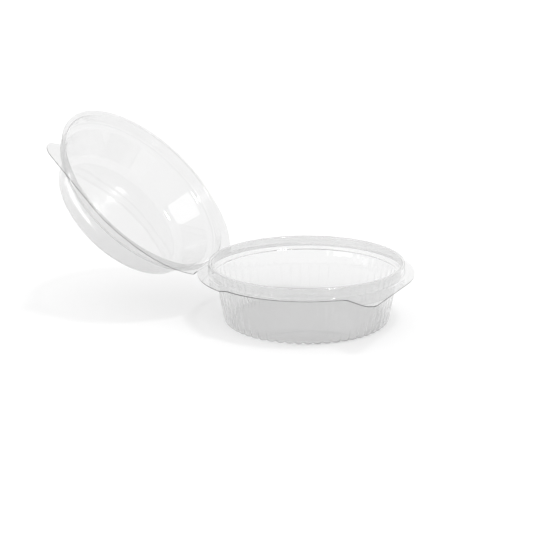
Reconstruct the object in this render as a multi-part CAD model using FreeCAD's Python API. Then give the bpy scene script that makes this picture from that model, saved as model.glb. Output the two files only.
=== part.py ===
import FreeCAD, Part
import math
import os

from FreeCAD import Vector

# A round hinged food pack of clear thermoformed sheet, standing open. Millimetres, +Z up.
# The origin is the centre of the bowl's flat foot. The hinge lies on the -X side, and the
# corner tabs that open the pack point towards +X -Y.

# Sheet and closing fit
bowl_sheet = 0.5
lid_sheet = 0.4
flange_gap = 0.3
bead_clearance = 0.4
lip_headroom = 0.9

# Fluted bowl, radii over the crests of the flutes
foot_radius = 59.6
bowl_depth = 34.0
flute_count = 54
flute_depth = 1.3
flute_end_round = 2.2

# Rim of the bowl, folded over as an upside-down U, and the flange at its foot
lip_radius = 70.0
lip_width = 2.1
lip_round = 1.0
rim_draft = 0.4
rim_rise = 9.4
flange_drop = 7.7
step_width = 2.3
step_round = 0.8
flange_root_round = 0.6

# Lid: a bead that fits over the rim, a shelf and a plain dome
shelf_width = 4.4
shelf_round = 1.2
dome_rise = 25.2
dome_lean = 11.0
dome_round = 9.0
crown_rise = 0.6
crown_share = 0.5
crown_round = 800.0

# Outline of the two flanges, angles from +X
bowl_flange_width = 4.0
lid_flange_width = 3.0
bowl_ear_width = 3.7
bowl_ear_start = 118.0
lid_ear_start = 114.0
brim_width = 3.2
brim_start = -17.0
brim_end = 47.0
end_slope = 4.0
outline_round = 3.0

# Corner tabs: the tip lies at a length along the outer edge, which leans in a little
tab_edge_slope = 3.0
tab_root = 49.4
bowl_tab_length = 66.3
bowl_tab_round = 6.5
lid_tab_length = 63.2
lid_tab_round = 10.0

# Film hinge: its axis lies outside the fold in the bowl's flange and a little below it
fold_margin = 1.0
fold_half = 30.0
hinge_reach = 1.7
hinge_drop = 1.46
crease_radius = 0.45
crease_clearance = 0.3
open_angle = 135.0

# What follows from the sizes above
lip_z = bowl_depth + rim_rise
bowl_flange_z = lip_z - flange_drop
lid_flange_z = bowl_flange_z + flange_gap
rim_inner_radius = lip_radius - lip_width - rim_draft
wall_top_radius = rim_inner_radius - step_width
rim_foot_radius = lip_radius + rim_draft
bead_foot_radius = rim_foot_radius + bead_clearance + lid_sheet
bead_top_radius = lip_radius + bead_clearance + lid_sheet
shelf_z = lip_z + lip_headroom + lid_sheet
dome_foot_radius = bead_top_radius - shelf_width
dome_top_radius = dome_foot_radius - dome_lean
dome_z = shelf_z + dome_rise
fold_x = -(bead_foot_radius + fold_margin)
hinge_x = fold_x - hinge_reach
hinge_z = bowl_flange_z - hinge_drop
bowl_flange_radius = lip_radius + bowl_flange_width
lid_flange_radius = bead_foot_radius + lid_flange_width
brim_radius = bowl_flange_radius + brim_width


def polar(radius, angle, z):
    """The point at a radius and an angle in degrees from +X."""
    turn = math.radians(angle)
    return Vector(radius * math.cos(turn), radius * math.sin(turn), z)


def line(start, end):
    return Part.LineSegment(start, end).toShape()


def arc(start, middle, end):
    return Part.Arc(start, middle, end).toShape()


def rounded_path(points, rounds):
    """Straight edges through points, with the radius in rounds at each point between the ends."""
    edges = []
    begin = points[0]
    for before, corner, after, radius in zip(points, points[1:], points[2:], rounds):
        back = (before - corner).normalize()
        ahead = (after - corner).normalize()
        half = back.getAngle(ahead) / 2
        reach = radius / math.tan(half)
        bisector = (back + ahead).normalize()
        start = corner + back * reach
        end = corner + ahead * reach
        middle = corner + bisector * (radius / math.sin(half) - radius)
        edges += [line(begin, start), arc(start, middle, end)]
        begin = end
    edges.append(line(begin, points[-1]))
    return edges


def parallel_points(points, distance):
    """The corners of the path that runs beside points, on its right seen from -Y."""
    moved = []
    for i, corner in enumerate(points):
        before = points[max(i - 1, 0)]
        after = points[min(i + 1, len(points) - 1)]
        come = (corner - before) if i else (after - corner)
        go = (after - corner) if i < len(points) - 1 else (corner - before)
        come.normalize()
        go.normalize()
        come_side = Vector(come.z, 0, -come.x)
        go_side = Vector(go.z, 0, -go.x)
        both = come_side + go_side
        moved.append(corner + both * (2 * distance / both.dot(both)))
    return moved


def parallel_rounds(points, rounds, distance):
    """Bend radii of the parallel path, larger on the outside of a bend."""
    found = []
    for before, corner, after, radius in zip(points, points[1:], points[2:], rounds):
        turns_right = (corner - before).cross(after - corner).y > 0
        found.append(radius - distance if turns_right else radius + distance)
    return found


def spun_sheet(points, rounds, thickness):
    """A sheet of one thickness under the path, turned about the Z axis."""
    under = parallel_points(points, thickness)
    top = rounded_path(points, rounds)
    bottom = rounded_path(under, parallel_rounds(points, rounds, thickness))
    ends = [line(points[-1], under[-1]), line(under[0], points[0])]
    edges = Part.sortEdges(top + bottom + ends)[0]
    section = Part.Face(Part.Wire(edges))
    return section.revolve(Vector(0, 0, 0), Vector(0, 0, 1), 360)


def fluted_ring(crest_radius, z):
    """A closed ring of round lobes, crests outward and a notch between each two."""
    pitch = 360.0 / flute_count
    notch_radius = crest_radius - flute_depth
    lobes = []
    for k in range(flute_count):
        start = polar(notch_radius, (k - 0.5) * pitch, z)
        crest = polar(crest_radius, k * pitch, z)
        end = polar(notch_radius, (k + 0.5) * pitch, z)
        lobes.append(arc(start, crest, end))
    return Part.Wire(lobes)


def fluted_body(inset, bottom_z):
    """A solid with the outline of the bowl below its step, drawn in by inset."""
    rings = []
    for angle in (0, 45, 90):
        turn = math.radians(angle)
        crest = foot_radius - inset - flute_end_round * (1 - math.sin(turn))
        rings.append(fluted_ring(crest, bottom_z + flute_end_round * (1 - math.cos(turn))))
    rings.append(fluted_ring(wall_top_radius - inset, bowl_depth))
    return Part.makeLoft(rings, True, True)


def plate(edges, thickness):
    """A flat plate with the outline of the edges, which lie at its underside."""
    return Part.Face(Part.Wire(edges)).extrude(Vector(0, 0, thickness))


def brim(z, thickness):
    """The wider flange opposite the hinge, its ends sloping in to the round outline."""
    first = polar(brim_radius, brim_start, z)
    last = polar(brim_radius, brim_end, z)
    inner_first = polar(rim_inner_radius, brim_start - 2 * end_slope, z)
    inner_last = polar(rim_inner_radius, brim_end + 2 * end_slope, z)
    centre = Vector(0, 0, z)
    edges = [
        arc(first, polar(brim_radius, (brim_start + brim_end) / 2, z), last),
        line(last, inner_last),
        line(inner_last, centre),
        line(centre, inner_first),
        line(inner_first, first),
    ]
    return plate(edges, thickness)


def hinge_ears(radius, start, edge_x, z, thickness):
    """The flange on the hinge side: an ear at each end of the straight fold at edge_x."""
    corner = Vector(edge_x, fold_half, z)
    corner_radius = math.hypot(edge_x, fold_half)
    corner_angle = math.degrees(math.atan2(fold_half, edge_x))
    middle = polar((radius + corner_radius) / 2, (start + corner_angle) / 2, z)
    half = [
        line(polar(rim_inner_radius, start - 2 * end_slope, z), polar(radius, start, z)),
        arc(polar(radius, start, z), middle, corner),
        line(corner, Vector(edge_x, 0, z)),
    ]
    half.insert(0, line(Vector(0, 0, z), half[0].Vertexes[0].Point))
    other = [edge.mirror(Vector(0, 0, 0), Vector(0, 1, 0)) for edge in half]
    return plate(Part.sortEdges(half + other)[0], thickness)


def corner_tab(edge_radius, length, tip_round, z, thickness):
    """A tab whose outer edge leaves the round outline at +X and runs towards +Y."""
    points = [
        Vector(edge_radius, 0, z),
        Vector(edge_radius - length * math.tan(math.radians(tab_edge_slope)), length, z),
        polar(rim_inner_radius, tab_root, z),
    ]
    edges = rounded_path(points, [tip_round])
    edges += [line(points[-1], Vector(0, 0, z)), line(Vector(0, 0, z), points[0])]
    return plate(edges, thickness)


def is_corner(shape, edge):
    """Whether an upright edge joins two sides of a plate at an angle, away from the fold."""
    low, high = edge.Vertexes[0].Point, edge.Vertexes[-1].Point
    if math.dist(low, high) > 2 * abs(high.z - low.z) or low.x < fold_x + outline_round:
        return False
    normals = [
        side.normalAt(*side.Surface.parameter(low))
        for side in shape.ancestorsOfType(edge, Part.Face)
    ]
    return len(normals) == 2 and normals[0].getAngle(normals[1]) > math.radians(6)


def flange_plate(pieces, root_radius, edge_x, z, thickness):
    """The flat flange: its pieces as one, cut at the fold and rounded at the corners."""
    whole = pieces[0].fuse(pieces[1:]).removeSplitter()
    beyond = Part.makeBox(
        lip_radius, 4 * lip_radius, 4 * thickness,
        Vector(edge_x - lip_radius, -2 * lip_radius, z - thickness),
    )
    whole = whole.cut(beyond)
    whole = whole.makeFillet(outline_round, [e for e in whole.Edges if is_corner(whole, e)])
    return whole.cut(Part.makeCylinder(root_radius, 3 * thickness, Vector(0, 0, z - thickness)))


def bowl_flange():
    """Flange at the foot of the bowl's rim: ears at the hinge, a brim and the thumb tab."""
    z = bowl_flange_z - bowl_sheet
    tab = corner_tab(brim_radius, bowl_tab_length, bowl_tab_round, z, bowl_sheet)
    pieces = [
        Part.makeCylinder(bowl_flange_radius, bowl_sheet, Vector(0, 0, z)),
        hinge_ears(bowl_flange_radius + bowl_ear_width, bowl_ear_start, fold_x, z, bowl_sheet),
        brim(z, bowl_sheet),
        tab.mirror(Vector(0, 0, 0), Vector(0, 1, 0)),
    ]
    root = rim_foot_radius + 2 * flange_root_round
    return flange_plate(pieces, root, fold_x, z, bowl_sheet)


def along_fold(points):
    """A bar with the given section in the XZ plane, as long as the fold."""
    section = Part.Face(Part.makePolygon(points + points[:1]))
    return section.extrude(Vector(0, 2 * fold_half, 0))


def bowl_leaf():
    """The film between the bowl's flange and the hinge axis, ending in the crease bead."""
    top = Vector(fold_x, -fold_half, bowl_flange_z)
    under = Vector(fold_x, -fold_half, bowl_flange_z - bowl_sheet)
    axis = Vector(hinge_x, -fold_half, hinge_z)
    along = ((top + under) * 0.5 - axis).normalize()
    side = Vector(-along.z, 0, along.x) * (bowl_sheet / 2)
    film = along_fold([top, under, axis - side, axis + side])
    return film.fuse(Part.makeCylinder(crease_radius, 2 * fold_half, axis, Vector(0, 1, 0)))


def bowl():
    """Bowl with its fluted wall, folded rim, flange and its side of the hinge."""
    start = Vector(wall_top_radius - 2 * flute_depth - bowl_sheet, 0, bowl_depth)
    path = [
        start,
        Vector(rim_inner_radius, 0, bowl_depth),
        Vector(lip_radius - lip_width, 0, lip_z),
        Vector(lip_radius, 0, lip_z),
        Vector(rim_foot_radius, 0, bowl_flange_z),
        Vector(rim_foot_radius + 2 * flange_root_round, 0, bowl_flange_z),
    ]
    rim = spun_sheet(path, [step_round, lip_round, lip_round, flange_root_round], bowl_sheet)
    body = fluted_body(0, 0).fuse([rim, bowl_flange(), bowl_leaf()])
    hollow = fluted_body(bowl_sheet, bowl_sheet)
    return body.cut(hollow).removeSplitter()


def lid_flange():
    """Flange of the lid, with ears at the hinge and its own tab beside the bowl's."""
    tab = corner_tab(lid_flange_radius, lid_tab_length, lid_tab_round, lid_flange_z, lid_sheet)
    tab.rotate(Vector(0, 0, 0), Vector(0, 0, 1), -90)
    edge_x = hinge_x - lid_sheet / 2
    pieces = [
        Part.makeCylinder(lid_flange_radius, lid_sheet, Vector(0, 0, lid_flange_z)),
        hinge_ears(lid_flange_radius, lid_ear_start, edge_x, lid_flange_z, lid_sheet),
        tab,
    ]
    return flange_plate(pieces, bead_foot_radius + lid_sheet, edge_x, lid_flange_z, lid_sheet)


def lid_leaf():
    """The film that turns down from the edge of the lid's flange to the hinge axis."""
    return along_fold([
        Vector(hinge_x - lid_sheet / 2, -fold_half, lid_flange_z),
        Vector(hinge_x + lid_sheet / 2, -fold_half, lid_flange_z),
        Vector(hinge_x + lid_sheet / 2, -fold_half, hinge_z),
        Vector(hinge_x - lid_sheet / 2, -fold_half, hinge_z),
    ])


def lid():
    """Dome lid: made closed over the bowl, then turned open about the hinge axis."""
    flange_top = lid_flange_z + lid_sheet
    crown_z = dome_z + crown_rise
    path = [
        Vector(0, 0, crown_z),
        Vector(dome_top_radius * crown_share, 0, crown_z),
        Vector(dome_top_radius, 0, dome_z),
        Vector(dome_foot_radius, 0, shelf_z),
        Vector(bead_top_radius, 0, shelf_z),
        Vector(bead_foot_radius, 0, flange_top),
        Vector(bead_foot_radius + lid_sheet, 0, flange_top),
    ]
    rounds = [crown_round, dome_round, shelf_round, shelf_round, lid_sheet / 2]
    shell = spun_sheet(path, rounds, lid_sheet).fuse([lid_flange(), lid_leaf()])
    room = Part.makeCylinder(
        crease_radius + crease_clearance, 4 * fold_half,
        Vector(hinge_x, -2 * fold_half, hinge_z), Vector(0, 1, 0),
    )
    closed = shell.cut(room).removeSplitter()
    closed.rotate(Vector(hinge_x, 0, hinge_z), Vector(0, -1, 0), open_angle)
    return closed


os.makedirs("parts", exist_ok=True)
bowl().exportStep("parts/bowl.step")
lid().exportStep("parts/lid.step")
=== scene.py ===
"""Clear hinged clamshell pack, standing open on a white table."""

import logging
import math
from collections.abc import Callable, Sequence
from dataclasses import dataclass
from enum import Enum

import bmesh
import bpy
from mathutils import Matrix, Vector


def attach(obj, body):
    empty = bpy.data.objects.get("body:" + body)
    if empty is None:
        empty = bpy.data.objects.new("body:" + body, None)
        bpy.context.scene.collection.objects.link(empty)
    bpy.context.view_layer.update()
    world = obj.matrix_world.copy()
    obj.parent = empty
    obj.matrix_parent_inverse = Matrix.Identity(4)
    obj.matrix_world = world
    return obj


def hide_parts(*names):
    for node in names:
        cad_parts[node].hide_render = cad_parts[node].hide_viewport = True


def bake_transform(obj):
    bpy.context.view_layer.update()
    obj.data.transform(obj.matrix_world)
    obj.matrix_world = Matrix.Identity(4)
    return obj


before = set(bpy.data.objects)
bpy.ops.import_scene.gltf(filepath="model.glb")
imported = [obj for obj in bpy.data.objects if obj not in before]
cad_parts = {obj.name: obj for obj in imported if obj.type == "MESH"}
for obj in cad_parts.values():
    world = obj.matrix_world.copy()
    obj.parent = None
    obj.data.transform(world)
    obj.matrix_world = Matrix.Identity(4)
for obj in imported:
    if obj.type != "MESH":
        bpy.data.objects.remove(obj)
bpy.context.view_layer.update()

MM = 0.001
# Points closer than this, in metres, are one point
SAME_PLACE = 1e-6
# Points of one flute ring lie within this of its height, in metres
SAME_RING = 1e-7
# Room given to a test of an edge's distance from the axis, in metres
EDGE_MARGIN = 1e-5
# Bends flatter than this, in degrees, are shaded smooth
SMOOTH_BELOW = 34.0
# Steps round each bend of a flange's outline
OUTLINE_BEND_STEPS = 10
log = logging.getLogger("pack")

# A place and the bend radius there
Corner = tuple[Vector, float]
# A place along the wall or round a bend, and how deep the flutes are there
Fades = tuple[tuple[float, float], ...]


class Kind(Enum):
    """What a selection test looks at."""

    VERTS = "verts"
    EDGES = "edges"


# Small tools for work in edit mode


def linear(hex_colour: str) -> tuple[float, float, float, float]:
    """Turn an sRGB hex colour into linear light.

    Args:
        hex_colour: Six hex digits after a hash.

    Returns:
        Red, green, blue and a full alpha.
    """
    parts = [int(hex_colour[i:i + 2], 16) / 255 for i in (1, 3, 5)]
    light = [c / 12.92 if c <= 0.04045 else ((c + 0.055) / 1.055) ** 2.4 for c in parts]
    return (light[0], light[1], light[2], 1.0)


def add_node(tree: bpy.types.NodeTree, kind: str, settings: dict | None = None,
             values: dict | None = None, links: dict | None = None) -> bpy.types.Node:
    """Add one node with its settings, socket values and incoming links.

    Args:
        tree: The node tree it goes into.
        kind: The node's type name.
        settings: Attributes to set on the node.
        values: Input sockets to set, by name or index.
        links: Output sockets to join to input sockets, by the input's name or index.

    Returns:
        The new node.
    """
    made = tree.nodes.new(kind)
    for name, value in (settings or {}).items():
        setattr(made, name, value)
    for socket, value in (values or {}).items():
        made.inputs[socket].default_value = value
    for socket, source in (links or {}).items():
        tree.links.new(source, made.inputs[socket])
    return made


def rest_selection() -> None:
    """Leave edit mode with nothing selected."""
    if bpy.context.object and bpy.context.object.mode != "OBJECT":
        bpy.ops.object.mode_set(mode="OBJECT")
    bpy.ops.object.select_all(action="DESELECT")


def work_on(piece: bpy.types.Object) -> None:
    """Open one piece in edit mode, alone.

    Args:
        piece: The piece to open.
    """
    rest_selection()
    bpy.context.view_layer.objects.active = piece
    piece.select_set(True)
    bpy.ops.object.mode_set(mode="EDIT")


def pick(kind: Kind, test: Callable[[object], bool]) -> None:
    """Select in edit mode what passes a test, and nothing else.

    Args:
        kind: Whether the test looks at vertices or edges.
        test: Says whether an element is wanted.
    """
    bpy.ops.mesh.select_mode(type=kind.name[:-1])
    bpy.ops.mesh.select_all(action="DESELECT")
    mesh = bpy.context.object.data
    shape = bmesh.from_edit_mesh(mesh)
    wanted = [element for element in getattr(shape, kind.value) if test(element)]
    for element in wanted:
        element.select_set(True)
    shape.select_flush_mode()
    bmesh.update_edit_mesh(mesh)


def inner_reach(edge: bmesh.types.BMEdge) -> float:
    """How far an edge's nearer end is from the axis."""
    return min(v.co.xy.length for v in edge.verts)


def is_level(edge: bmesh.types.BMEdge, z: float) -> bool:
    """Whether an edge lies at a height in metres."""
    return all(abs(v.co.z - z) < SAME_PLACE for v in edge.verts)


def pull(step: Vector) -> None:
    """Extrude the selection by a step in metres."""
    bpy.ops.mesh.extrude_region_move(TRANSFORM_OT_translate={"value": tuple(step)})


def weld() -> None:
    """Merge doubled points and turn every face the same way."""
    bpy.ops.mesh.select_mode(type="VERT")
    bpy.ops.mesh.select_all(action="SELECT")
    bpy.ops.mesh.remove_doubles(threshold=SAME_PLACE)
    bpy.ops.mesh.normals_make_consistent(inside=False)


def trace(name: str, corners: Sequence[Corner], closed: bool = False,
          segments: int = 6) -> bpy.types.Object:
    """Draw a line of edges by pulling a point from corner to corner, then round its bends.

    Args:
        name: The new piece's name.
        corners: Place in metres and bend radius in metres of each corner.
        closed: Whether the line runs back to its start.
        segments: Steps round each bend.

    Returns:
        The line, in edit mode, with its place in its mesh.
    """
    rest_selection()
    bpy.ops.mesh.primitive_plane_add(size=MM)
    traced = bpy.context.object
    traced.name = name
    bpy.ops.object.mode_set(mode="EDIT")
    bpy.ops.mesh.merge(type="CENTER")
    places = [place for place, _ in corners]
    bpy.ops.transform.translate(value=places[0])
    stops = places[1:] + places[:1] if closed else places[1:]
    for before, after in zip(places, stops):
        pull(after - before)
    bpy.ops.mesh.select_all(action="SELECT")
    bpy.ops.mesh.remove_doubles(threshold=SAME_PLACE)
    for i, (here, radius) in enumerate(corners):
        if radius == 0:
            continue
        back = (places[i - 1] - here).normalized()
        ahead = (places[(i + 1) % len(places)] - here).normalized()
        reach = radius / math.tan(back.angle(ahead) / 2)
        pick(Kind.VERTS, lambda v: (v.co - here).length < SAME_PLACE)
        bpy.ops.mesh.bevel(offset_type="OFFSET", offset=reach, segments=segments,
                           profile=0.5, affect="VERTICES", clamp_overlap=False)
    return traced


def profile(name: str, corners: Sequence[tuple[float, float, float]],
            segments: int = 6) -> bpy.types.Object:
    """Trace a profile in the XZ plane.

    Args:
        name: The new piece's name.
        corners: Radius, height and bend radius of each corner, in millimetres.
        segments: Steps round each bend.

    Returns:
        The profile, in edit mode.
    """
    return trace(name, [(Vector((x, 0, z)) * MM, r * MM) for x, z, r in corners],
                 segments=segments)


def spin_round(steps: int) -> None:
    """Spin all of the open mesh once round the Z axis and close its seam.

    Args:
        steps: How many steps go round.
    """
    bpy.ops.mesh.select_all(action="SELECT")
    bpy.ops.mesh.spin(steps=steps, angle=2 * math.pi, center=(0, 0, 0), axis=(0, 0, 1))
    weld()


def join(pieces: Sequence[bpy.types.Object]) -> bpy.types.Object:
    """Join pieces into the first of them and open it in edit mode.

    Args:
        pieces: The pieces to join.

    Returns:
        The first piece, which now holds them all.
    """
    rest_selection()
    for piece in pieces:
        piece.select_set(True)
    bpy.context.view_layer.objects.active = pieces[0]
    bpy.ops.object.join()
    work_on(pieces[0])
    return pieces[0]


def fill_flat(wanted: Callable[[object], bool]) -> None:
    """Fill the flat ground between two open loops, one inside the other.

    Args:
        wanted: Says whether an open edge belongs to one of the loops.
    """
    pick(Kind.EDGES, lambda e: (e.is_boundary or e.is_wire) and wanted(e))
    bpy.ops.mesh.fill(use_beauty=True)


def give_thickness(piece: bpy.types.Object, sheet: float, offset: float = -1.0) -> None:
    """Turn an open skin into a sheet, whose face in the middle looks up.

    Args:
        piece: The skin.
        sheet: Thickness in millimetres.
        offset: -1 for a sheet all behind the skin, 0 for one half on each side.
    """
    rest_selection()
    middle = min(piece.data.polygons, key=lambda f: Vector(f.center[:2]).length)
    if middle.normal.z < 0:
        work_on(piece)
        bpy.ops.mesh.select_all(action="SELECT")
        bpy.ops.mesh.flip_normals()
        rest_selection()
    wall = piece.modifiers.new("wall", "SOLIDIFY")
    wall.thickness = sheet * MM
    wall.offset = offset
    wall.use_even_offset = True
    wall.use_quality_normals = True
    bpy.context.view_layer.objects.active = piece
    piece.select_set(True)
    bpy.ops.object.modifier_apply(modifier=wall.name)
    bpy.ops.object.shade_smooth_by_angle(angle=math.radians(SMOOTH_BELOW))


def dress(piece: bpy.types.Object, finish: bpy.types.Material) -> None:
    """Give a piece its one finish."""
    piece.data.materials.clear()
    piece.data.materials.append(finish)


# Flat outlines of the two flanges, in millimetres


def on_circle(radius: float, angle: float) -> Vector:
    """The point at a radius and an angle in degrees from +X."""
    turn = math.radians(angle)
    return Vector((radius * math.cos(turn), radius * math.sin(turn)))


def meeting(start: Vector, end: Vector, radius: float) -> Vector:
    """Where a straight line comes to a circle about the origin.

    Args:
        start: A point outside the circle.
        end: A point inside it.
        radius: The circle's radius.

    Returns:
        The point on the circle.
    """
    along = end - start
    a = along.dot(along)
    b = 2 * start.dot(along)
    c = start.dot(start) - radius * radius
    share = (-b - math.sqrt(b * b - 4 * a * c)) / (2 * a)
    return start + along * share


def sweep(first_radius: float, last_radius: float, start: float, end: float,
          pitch: float = 1.0) -> list[Corner]:
    """Points round the origin from one angle to another, the radius changing evenly.

    Args:
        first_radius: Radius at the start.
        last_radius: Radius at the end.
        start: First angle in degrees.
        end: Last angle in degrees.
        pitch: About how far apart the points are, in degrees.

    Returns:
        Each point with no bend of its own.
    """
    count = max(1, round(abs(end - start) / pitch))
    points = []
    for i in range(count + 1):
        share = i / count
        radius = first_radius + (last_radius - first_radius) * share
        points.append((on_circle(radius, start + (end - start) * share), 0.0))
    return points


def flat_outline(name: str, points: Sequence[Corner], z: float) -> bpy.types.Object:
    """Trace a closed outline at one height.

    Args:
        name: The new piece's name.
        points: Place and bend radius of each corner, in millimetres.
        z: The height in millimetres.

    Returns:
        The outline, in edit mode.
    """
    places = [(Vector((p.x, p.y, z)) * MM, radius * MM) for p, radius in points]
    return trace(name, places, closed=True, segments=OUTLINE_BEND_STEPS)


# Finishes


@dataclass(frozen=True)
class ClearPet:
    """Thermoformed PET: glass-clear and glossy, with a faint grey cast and a wavy skin."""

    name: str
    tint: str
    shade: str
    depth_colour: str
    depth_density: float
    roughness: float = 0.03
    ior: float = 1.575
    wave_scale: float = 38.0
    wave_height: float = 0.00004
    grain_scale: float = 420.0
    grain_height: float = 0.0000012
    longest_way: float = 6.5

    def make(self) -> bpy.types.Material:
        """Build the material.

        Returns:
            The finished material.
        """
        material = bpy.data.materials.new(self.name)
        material.use_nodes = True
        tree = material.node_tree
        tree.nodes.clear()
        place = add_node(tree, "ShaderNodeTexCoord")
        # Slow waves, about 26 mm apart, from the uneven stretch of the sheet over its mould,
        # which make its highlights wander
        waves = add_node(tree, "ShaderNodeTexNoise",
                         values={"Scale": self.wave_scale, "Detail": 1.0, "Roughness": 0.4},
                         links={"Vector": place.outputs["Object"]})
        slow = add_node(tree, "ShaderNodeBump",
                        values={"Strength": 1.0, "Distance": self.wave_height},
                        links={"Height": waves.outputs["Fac"]})
        # Fine chill marks, drawn about 2.4 mm apart, coarser than they are, so that they show
        grain = add_node(tree, "ShaderNodeTexNoise",
                         values={"Scale": self.grain_scale, "Detail": 2.0},
                         links={"Vector": place.outputs["Object"]})
        fine = add_node(tree, "ShaderNodeBump",
                        values={"Strength": 1.0, "Distance": self.grain_height},
                        links={"Height": grain.outputs["Fac"], "Normal": slow.outputs["Normal"]})
        plastic = add_node(tree, "ShaderNodeBsdfPrincipled",
                           values={"Base Color": linear(self.tint), "Roughness": self.roughness,
                                   "IOR": self.ior, "Transmission Weight": 1.0},
                           links={"Normal": fine.outputs["Normal"]})
        # Lamps shine through thin clear sheet and leave only a light shadow
        through = add_node(tree, "ShaderNodeBsdfTransparent",
                           values={"Color": linear(self.shade)})
        rays = add_node(tree, "ShaderNodeLightPath")
        lamp_light = add_node(tree, "ShaderNodeMath", {"operation": "MAXIMUM"},
                              links={0: rays.outputs["Is Shadow Ray"],
                                     1: rays.outputs["Is Diffuse Ray"]})
        both = add_node(tree, "ShaderNodeMixShader",
                        links={0: lamp_light.outputs[0],
                               1: plastic.outputs[0], 2: through.outputs[0]})
        # Light that has bounced along inside the sheet for long comes out of it somewhere
        spent = add_node(tree, "ShaderNodeMath", {"operation": "GREATER_THAN"},
                         values={1: self.longest_way}, links={0: rays.outputs["Ray Depth"]})
        escape = add_node(tree, "ShaderNodeBsdfTransparent")
        skin = add_node(tree, "ShaderNodeMixShader",
                        links={0: spent.outputs[0], 1: both.outputs[0], 2: escape.outputs[0]})
        # Light that runs along inside the sheet comes out greyer at its cut edges
        depth = add_node(tree, "ShaderNodeVolumeAbsorption",
                         values={"Color": linear(self.depth_colour),
                                 "Density": self.depth_density})
        add_node(tree, "ShaderNodeOutputMaterial",
                 links={"Surface": skin.outputs[0], "Volume": depth.outputs[0]})
        return material


# The bowl


@dataclass(frozen=True)
class FluteRing:
    """One ring of the fluted wall: its radius and height in millimetres, its flutes' depth."""

    radius: float
    z: float
    depth_share: float


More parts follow.
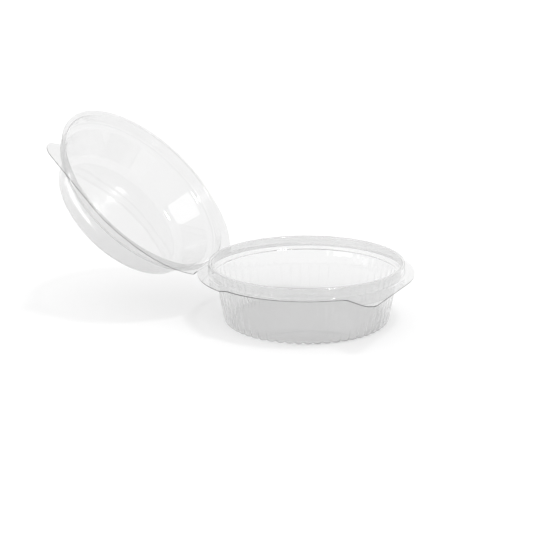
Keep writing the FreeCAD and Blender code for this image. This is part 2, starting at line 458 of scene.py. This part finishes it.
@dataclass
class Bowl:
    """The fluted bowl: one formed sheet from its floor to the edge of its flange."""

    sheet: float = 0.5
    foot_radius: float = 59.6
    wall_top_radius: float = 65.2
    depth: float = 34.0
    flutes: int = 54
    flute_depth: float = 1.5
    lobe_steps: int = 10
    wall_top_round: float = 0.9
    foot_round: float = 2.2
    rim_steps: int = 432
    rim_inner_radius: float = 67.5
    lip_inner_radius: float = 67.9
    lip_radius: float = 70.0
    lip_z: float = 43.4
    rim_foot_radius: float = 70.4
    flange_z: float = 35.7
    flange_radius: float = 74.0
    ear_radius: float = 77.7
    ear_start: float = 118.0
    brim_radius: float = 77.2
    brim_end: float = 47.0
    end_slope: float = 8.0
    tab_length: float = 66.3
    tab_lean: float = 3.0
    tab_root: float = 49.4
    tab_round: float = 6.5
    fold_x: float = -72.2
    fold_half: float = 30.0
    corner_round: float = 3.0
    end_round: float = 2.0
    # Degrees of arc left free beside a rounded corner, and beside the end of an ear
    corner_room: float = 3.0
    ear_room: float = 2.0
    step_reach: float = 1.4
    step_round: float = 0.8
    lip_round: float = 1.0
    flange_root_round: float = 0.6
    flange_root_width: float = 1.2
    # Share of the wall's height and the flutes' depth there, then degrees round the top's bend
    wall_fades: Fades = ((0.1, 0.8), (0.25, 0.4), (0.65, 0.15), (1.0, 0.08))
    top_fades: Fades = ((22.5, 0.08), (45.0, 0.06), (67.5, 0.03), (90.0, 0.0))
    # Degrees round the foot's bend and the flutes' depth there, which grows towards the floor
    foot_depths: Fades = ((67.5, 1.08), (45.0, 1.2), (22.5, 1.35), (0.0, 1.5))
    floor_scales: tuple[float, ...] = (0.97, 0.6, 0.0)

    @property
    def step_edge(self) -> float:
        """Where the flat of the step begins, as a radius in millimetres."""
        return self.rim_inner_radius - self.step_reach

    @property
    def flange_root(self) -> float:
        """Where the flat of the flange begins, as a radius in millimetres."""
        return self.rim_foot_radius + self.flange_root_width

    def lobe(self) -> bpy.types.Object:
        """Trace one flute's wave round the wall, at the top of the foot's rounding.

        Returns:
            The wave, in edit mode.
        """
        half_pitch = math.pi / self.flutes
        crest = self.foot_radius - self.sheet
        corners = []
        for i in range(self.lobe_steps + 1):
            share = 2 * i / self.lobe_steps - 1
            drop = self.flute_depth * abs(math.sin(share * math.pi / 2)) ** 3
            place = on_circle(crest - drop, math.degrees(share * half_pitch))
            corners.append((Vector((place.x, place.y, self.sheet + self.foot_round)) * MM, 0.0))
        return trace("flute", corners)

    def notch_x(self, ring: FluteRing) -> float:
        """How far out the ends of one flute's wave lie along its middle line."""
        half_pitch = math.pi / self.flutes
        return (ring.radius - self.flute_depth * ring.depth_share) * math.cos(half_pitch)

    def pull_ring(self, now: FluteRing, then: FluteRing) -> None:
        """Pull the selected wave on to the next ring, wider and more or less deep.

        Args:
            now: The ring it lies on.
            then: The ring it goes to.
        """
        grow = then.radius / now.radius
        pull(Vector((0, 0, then.z - now.z)) * MM)
        bpy.ops.transform.resize(value=(grow, grow, 1), center_override=(0, 0, 0))
        end_x = self.notch_x(now) * grow
        flatten = (then.radius - self.notch_x(then)) / (then.radius - end_x)
        bpy.ops.transform.resize(value=(flatten, self.notch_x(then) / end_x, 1),
                                 center_override=(then.radius * MM, 0, 0))

    def flute(self) -> bpy.types.Object:
        """Pull one flute's wave up the wall, then down round the foot to the middle.

        Returns:
            One flute with its share of the floor, in edit mode.
        """
        piece = self.lobe()
        bpy.ops.mesh.select_all(action="SELECT")
        foot = FluteRing(self.foot_radius - self.sheet, self.sheet + self.foot_round, 1.0)
        top_radius = self.wall_top_radius - self.sheet
        bend = self.wall_top_round
        lean = (top_radius - foot.radius) / (self.depth - foot.z)
        climb = [foot]
        for share, fade in self.wall_fades:
            z = foot.z + (self.depth - bend - foot.z) * share
            climb.append(FluteRing(foot.radius + (z - foot.z) * lean, z, fade))
        for angle, fade in self.top_fades:
            turn = math.radians(angle)
            climb.append(FluteRing(top_radius + bend * (1 - math.cos(turn)),
                                   self.depth - bend * (1 - math.sin(turn)), fade))
        for now, then in zip(climb, climb[1:]):
            self.pull_ring(now, then)
        pick(Kind.VERTS, lambda v: abs(v.co.z - foot.z * MM) < SAME_RING)
        descent = [foot]
        for angle, depth_share in self.foot_depths:
            turn = math.radians(angle)
            descent.append(FluteRing(foot.radius - self.foot_round * (1 - math.sin(turn)),
                                     self.sheet + self.foot_round * (1 - math.cos(turn)),
                                     depth_share))
        for now, then in zip(descent, descent[1:]):
            self.pull_ring(now, then)
        for scale in self.floor_scales:
            pull(Vector((0, 0, 0)))
            bpy.ops.transform.resize(value=(scale, scale, 1), center_override=(0, 0, 0))
        return piece

    def body(self) -> bpy.types.Object:
        """Repeat the flute all the way round.

        Returns:
            Wall and floor, in edit mode.
        """
        piece = self.flute()
        bpy.ops.mesh.select_all(action="SELECT")
        turn = 2 * math.pi * (self.flutes - 1) / self.flutes
        bpy.ops.mesh.spin(steps=self.flutes - 1, dupli=True, angle=turn,
                          center=(0, 0, 0), axis=(0, 0, 1))
        weld()
        return piece

    def rim(self) -> bpy.types.Object:
        """Spin the step, the folded-over rim and the root of the flange.

        Returns:
            The rim, in edit mode.
        """
        piece = profile("rim", [
            (self.step_edge, self.depth, 0),
            (self.rim_inner_radius, self.depth, self.step_round),
            (self.lip_inner_radius, self.lip_z, self.lip_round),
            (self.lip_radius, self.lip_z, self.lip_round),
            (self.rim_foot_radius, self.flange_z, self.flange_root_round),
            (self.flange_root, self.flange_z, 0),
        ])
        spin_round(self.rim_steps)
        return piece

    def outline(self) -> bpy.types.Object:
        """Trace the edge of the flange: brim, corner tab, two ears and the fold.

        Returns:
            The closed outline at the flange's height, in edit mode.
        """
        r = self.flange_radius
        inner = self.rim_inner_radius
        room = self.corner_room
        ear_drop = self.end_slope * (self.ear_radius - r) / (self.ear_radius - inner)
        brim_drop = self.end_slope * (self.brim_radius - r) / (self.brim_radius - inner)
        fold_angle = 180 - math.degrees(math.atan2(self.fold_half, -self.fold_x))
        fold_radius = math.hypot(self.fold_x, self.fold_half)
        lean = math.tan(math.radians(self.tab_lean))
        tip = Vector((self.brim_radius - self.tab_length * lean, -self.tab_length))
        heel = meeting(tip, on_circle(inner, -self.tab_root), r)
        heel_angle = math.degrees(math.atan2(heel.y, heel.x))
        points = sweep(fold_radius, self.ear_radius, -fold_angle, -self.ear_start - self.ear_room)
        points += [
            (on_circle(self.ear_radius, -self.ear_start), self.end_round),
            (on_circle(r, -self.ear_start + ear_drop), self.corner_round),
        ]
        points += sweep(r, r, -self.ear_start + ear_drop + room, heel_angle - room)
        points += [(heel, self.corner_round), (tip, self.tab_round)]
        points += sweep(self.brim_radius, self.brim_radius, 0, self.brim_end - room)
        points += [
            (on_circle(self.brim_radius, self.brim_end), self.end_round),
            (on_circle(r, self.brim_end + brim_drop), self.corner_round),
        ]
        points += sweep(r, r, self.brim_end + brim_drop + room, self.ear_start - ear_drop - room)
        points += [
            (on_circle(r, self.ear_start - ear_drop), self.corner_round),
            (on_circle(self.ear_radius, self.ear_start), self.end_round),
        ]
        points += sweep(self.ear_radius, fold_radius, self.ear_start + self.ear_room, fold_angle)
        return flat_outline("flange_edge", points, self.flange_z)

    def build(self, finish: bpy.types.Material) -> bpy.types.Object:
        """Join wall, rim and flange into one sheet and dress it.

        Args:
            finish: The clear plastic.

        Returns:
            The finished bowl.
        """
        piece = join([self.body(), self.rim(), self.outline()])
        piece.name = "bowl_sheet"
        step_reach = self.step_edge * MM + EDGE_MARGIN
        root_reach = self.flange_root * MM - EDGE_MARGIN
        fill_flat(lambda e: is_level(e, self.depth * MM) and inner_reach(e) < step_reach)
        fill_flat(lambda e: is_level(e, self.flange_z * MM) and inner_reach(e) > root_reach)
        weld()
        give_thickness(piece, self.sheet)
        dress(piece, finish)
        return piece


# The lid


@dataclass
class Lid:
    """The dome lid: made closed over the bowl, then turned open about the film hinge."""

    sheet: float = 0.4
    flange_top: float = 36.4
    flange_radius: float = 74.2
    bead_foot_radius: float = 71.2
    bead_top_radius: float = 70.8
    shelf_z: float = 44.7
    dome_foot_radius: float = 66.4
    dome_top_radius: float = 55.4
    dome_z: float = 69.9
    crown_rise: float = 0.6
    spin_steps: int = 288
    ear_start: float = 114.0
    tab_length: float = 63.2
    tab_lean: float = 3.0
    tab_root: float = 49.4
    tab_round: float = 10.0
    root_radius: float = 67.5
    fold_x: float = -74.1
    fold_half: float = 30.0
    corner_round: float = 3.0
    # Degrees of arc left free beside a rounded corner, and beside the start of an ear
    corner_room: float = 3.0
    ear_room: float = 1.0
    # The side that the tab stands on, in degrees from +X
    tab_side: float = -90.0
    crown_round: float = 800.0
    dome_top_round: float = 9.0
    dome_foot_round: float = 4.5
    shelf_round: float = 1.2
    bead_foot_round: float = 0.6
    bend_steps: int = 8
    hinge_x: float = -73.9
    hinge_z: float = 34.24
    opening: float = 135.0

    @property
    def flange_root(self) -> float:
        """Where the flat of the flange begins, as a radius in millimetres."""
        return self.bead_foot_radius + 3 * self.sheet

    def shell(self) -> bpy.types.Object:
        """Spin crown, dome, shelf and bead.

        Returns:
            The shell, in edit mode.
        """
        crown_z = self.dome_z + self.crown_rise
        piece = profile("lid_shell", [
            (0, crown_z, 0),
            (self.dome_top_radius / 2, crown_z, self.crown_round),
            (self.dome_top_radius, self.dome_z, self.dome_top_round),
            (self.dome_foot_radius, self.shelf_z, self.dome_foot_round),
            (self.bead_top_radius, self.shelf_z, self.shelf_round),
            (self.bead_foot_radius, self.flange_top, self.bead_foot_round),
            (self.flange_root, self.flange_top, 0),
        ], segments=self.bend_steps)
        spin_round(self.spin_steps)
        return piece

    def outline(self) -> bpy.types.Object:
        """Trace the edge of the flange: corner tab, two ears and the fold.

        Returns:
            The closed outline at the flange's height, in edit mode.
        """
        r = self.flange_radius
        fold_angle = 180 - math.degrees(math.atan2(self.fold_half, -self.fold_x))
        fold_radius = math.hypot(self.fold_x, self.fold_half)
        lean = math.tan(math.radians(self.tab_lean))
        tip = Vector((self.tab_length, -r + self.tab_length * lean))
        heel = meeting(tip, on_circle(self.root_radius, self.tab_root + self.tab_side), r)
        heel_angle = math.degrees(math.atan2(heel.y, heel.x))
        points = sweep(fold_radius, r, -fold_angle, -self.ear_start)
        points += sweep(r, r, -self.ear_start + self.ear_room, self.tab_side)
        points += [(tip, self.tab_round), (heel, self.corner_round)]
        points += sweep(r, r, heel_angle + self.corner_room, self.ear_start - self.ear_room)
        points += sweep(r, fold_radius, self.ear_start, fold_angle)
        return flat_outline("lid_edge", points, self.flange_top)

    def build(self, finish: bpy.types.Material) -> bpy.types.Object:
        """Join dome and flange into one sheet, turn it open and dress it.

        Args:
            finish: The clear plastic.

        Returns:
            The finished lid.
        """
        piece = join([self.shell(), self.outline()])
        piece.name = "lid_sheet"
        root_reach = self.flange_root * MM - EDGE_MARGIN
        fill_flat(lambda e: is_level(e, self.flange_top * MM) and inner_reach(e) > root_reach)
        weld()
        give_thickness(piece, self.sheet)
        work_on(piece)
        bpy.ops.mesh.select_all(action="SELECT")
        bpy.ops.transform.rotate(
            value=math.radians(self.opening), orient_axis="Y",
            center_override=(self.hinge_x * MM, 0, self.hinge_z * MM),
        )
        rest_selection()
        dress(piece, finish)
        return piece


# The film hinge


@dataclass
class FilmHinge:
    """The strip of thinner sheet between the two flanges, drawn across the hinge's axis."""

    sheet: float = 0.4
    half_width: float = 29.9
    bowl_edge: tuple[float, float] = (-72.35, 35.34)
    axis: tuple[float, float] = (-73.9, 34.24)
    lid_edge: tuple[float, float] = (-75.11, 33.03)
    steps: int = 6

    def build(self, finish: bpy.types.Material) -> bpy.types.Object:
        """Draw the strip across the axis, pull it along the fold and dress it.

        Args:
            finish: The clear plastic.

        Returns:
            The finished strip.
        """
        corners = []
        for start, end in ((self.bowl_edge, self.axis), (self.axis, self.lid_edge)):
            for i in range(self.steps + (end == self.lid_edge)):
                share = i / self.steps
                x = start[0] + (end[0] - start[0]) * share
                z = start[1] + (end[1] - start[1]) * share
                corners.append((Vector((x, -self.half_width, z)) * MM, 0.0))
        piece = trace("film_hinge", corners)
        bpy.ops.mesh.select_all(action="SELECT")
        pull(Vector((0, 2 * self.half_width, 0)) * MM)
        weld()
        give_thickness(piece, self.sheet, offset=0.0)
        dress(piece, finish)
        return piece


# Table, light and camera


@dataclass
class SoftBox:
    """An oblong soft box that the gloss of the pack mirrors."""

    name: str
    azimuth: float
    elevation: float
    width: float
    height: float
    glow: float
    distance: float = 1.5
    aim: tuple[float, float, float] = (-0.12, 0.05, 0.06)

    def hang(self) -> None:
        """Hang the box at its angle from +Y towards +X, facing the pack."""
        rest_selection()
        turn = math.radians(self.azimuth)
        tilt = math.radians(self.elevation)
        out = Vector((math.sin(turn) * math.cos(tilt), math.cos(turn) * math.cos(tilt),
                      math.sin(tilt)))
        bpy.ops.object.light_add(type="AREA", location=Vector(self.aim) + out * self.distance,
                                 rotation=out.to_track_quat("Z", "Y").to_euler())
        lamp = bpy.context.object
        lamp.name = self.name
        lamp.data.shape = "RECTANGLE"
        lamp.data.size = self.width
        lamp.data.size_y = self.height
        lamp.data.energy = self.glow * math.pi * self.width * self.height
        lamp.visible_diffuse = False


@dataclass
class Studio:
    """A white table under soft light, seen through a long lens."""

    lens: float = 90.0
    sensor: float = 36.0
    azimuth: float = 22.2
    elevation: float = 18.13
    distance: float = 1.013
    farthest: float = 50.0
    # Where the foot's middle lies in the picture, across and down
    origin_px: tuple[float, float] = (306.66, 318.1)
    picture_px: float = 560.0
    table_size: float = 12.0
    table_squares: int = 8
    # The table lies this much under the foot, in metres, so that the two faces don't meet
    table_drop: float = 0.00005
    table_colour: str = "#f6f6f6"
    sun_from: tuple[float, float, float] = (0.35, -0.05, 1.0)
    sun_strength: float = 0.9
    sun_spread: float = 9.0
    # The room's strength overhead, and between which heights it falls from 1 to that
    ceiling: float = 0.9
    ceiling_from: float = 0.3
    ceiling_to: float = 0.75

    def camera(self) -> None:
        """Place the camera at the photograph's viewing angle."""
        rest_selection()
        turn = math.radians(self.azimuth)
        tilt = math.radians(self.elevation)
        back = Vector((math.sin(turn) * math.cos(tilt), -math.cos(turn) * math.cos(tilt),
                       math.sin(tilt)))
        bpy.ops.object.camera_add(location=back * self.distance,
                                  rotation=back.to_track_quat("Z", "Y").to_euler())
        camera = bpy.context.object
        camera.data.lens = self.lens
        camera.data.sensor_width = self.sensor
        half = self.picture_px / 2
        camera.data.shift_x = (half - self.origin_px[0]) / self.picture_px
        camera.data.shift_y = (self.origin_px[1] - half) / self.picture_px
        camera.data.clip_end = self.farthest
        bpy.context.scene.camera = camera

    def table(self) -> None:
        """Lay the white table, which shows as white and keeps the pack's shadow."""
        rest_selection()
        bpy.ops.mesh.primitive_grid_add(
            x_subdivisions=self.table_squares, y_subdivisions=self.table_squares,
            size=self.table_size, location=(0, 0, -self.table_drop),
        )
        table = bpy.context.object
        table.name = "table"
        bpy.ops.object.transform_apply(location=True)
        material = bpy.data.materials.new("white_table")
        material.use_nodes = True
        tree = material.node_tree
        tree.nodes.clear()
        paint = add_node(tree, "ShaderNodeBsdfDiffuse",
                         values={"Color": linear(self.table_colour)})
        add_node(tree, "ShaderNodeOutputMaterial", links={"Surface": paint.outputs[0]})
        table.data.materials.append(material)

    def lights(self) -> None:
        """Hang a broad key lamp overhead and soft boxes in front, on the left and behind."""
        rest_selection()
        sun_turn = Vector(self.sun_from).to_track_quat("Z", "Y").to_euler()
        bpy.ops.object.light_add(type="SUN", rotation=sun_turn)
        sun = bpy.context.object
        sun.name = "overhead_key"
        sun.data.energy = self.sun_strength
        sun.data.angle = math.radians(self.sun_spread)
        for box in (
            SoftBox("tall_front_box", azimuth=-155.0, elevation=37.0, width=0.8, height=1.0,
                    glow=1.15),
            SoftBox("low_left_box", azimuth=-125.0, elevation=12.0, width=0.6, height=0.3,
                    glow=0.9),
            SoftBox("left_box", azimuth=-74.0, elevation=42.0, width=0.3, height=0.2, glow=0.2),
            SoftBox("back_box", azimuth=12.8, elevation=30.6, width=0.07, height=0.02, glow=4.0),
        ):
            box.hang()

    def room(self) -> None:
        """Surround the table with a room that is white low down and greyer overhead."""
        world = bpy.data.worlds.new("room")
        bpy.context.scene.world = world
        world.use_nodes = True
        tree = world.node_tree
        tree.nodes.clear()
        way = add_node(tree, "ShaderNodeTexCoord")
        height = add_node(tree, "ShaderNodeSeparateXYZ", links={0: way.outputs["Generated"]})
        level = add_node(tree, "ShaderNodeMapRange", {"interpolation_type": "SMOOTHSTEP"},
                         values={"From Min": self.ceiling_from, "From Max": self.ceiling_to,
                                 "To Min": 1.0, "To Max": self.ceiling},
                         links={"Value": height.outputs["Z"]})
        white = add_node(tree, "ShaderNodeBackground", links={"Strength": level.outputs[0]})
        white.inputs["Color"].default_value = (1, 1, 1, 1)
        add_node(tree, "ShaderNodeOutputWorld", links={"Surface": white.outputs[0]})
        bpy.context.scene.view_settings.view_transform = "Standard"

    def build(self) -> None:
        """Set up camera, table, lights and room."""
        self.camera()
        self.table()
        self.lights()
        self.room()


def main() -> None:
    """Build the pack's pieces in order and set the scene."""
    logging.basicConfig(level=logging.INFO, format="%(name)s: %(message)s")
    bowl_finish = ClearPet("clear_pet_bowl", tint="#f0f0f0", shade="#eeeeee",
                           depth_colour="#8a8d8f", depth_density=40.0).make()
    lid_finish = ClearPet("clear_pet_lid", tint="#ebebeb", shade="#eeeeee",
                          depth_colour="#8d8d90", depth_density=40.0).make()
    bowl = Bowl().build(bowl_finish)
    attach(bowl, "base")
    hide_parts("bowl")
    log.info("%s: %d faces", bowl.name, len(bowl.data.polygons))
    lid = Lid().build(lid_finish)
    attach(lid, "cover")
    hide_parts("lid")
    log.info("%s: %d faces", lid.name, len(lid.data.polygons))
    film = FilmHinge().build(bowl_finish)
    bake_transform(film)
    log.info("%s: %d faces", film.name, len(film.data.polygons))
    Studio().build()
    rest_selection()


if __name__ == "__main__":
    main()
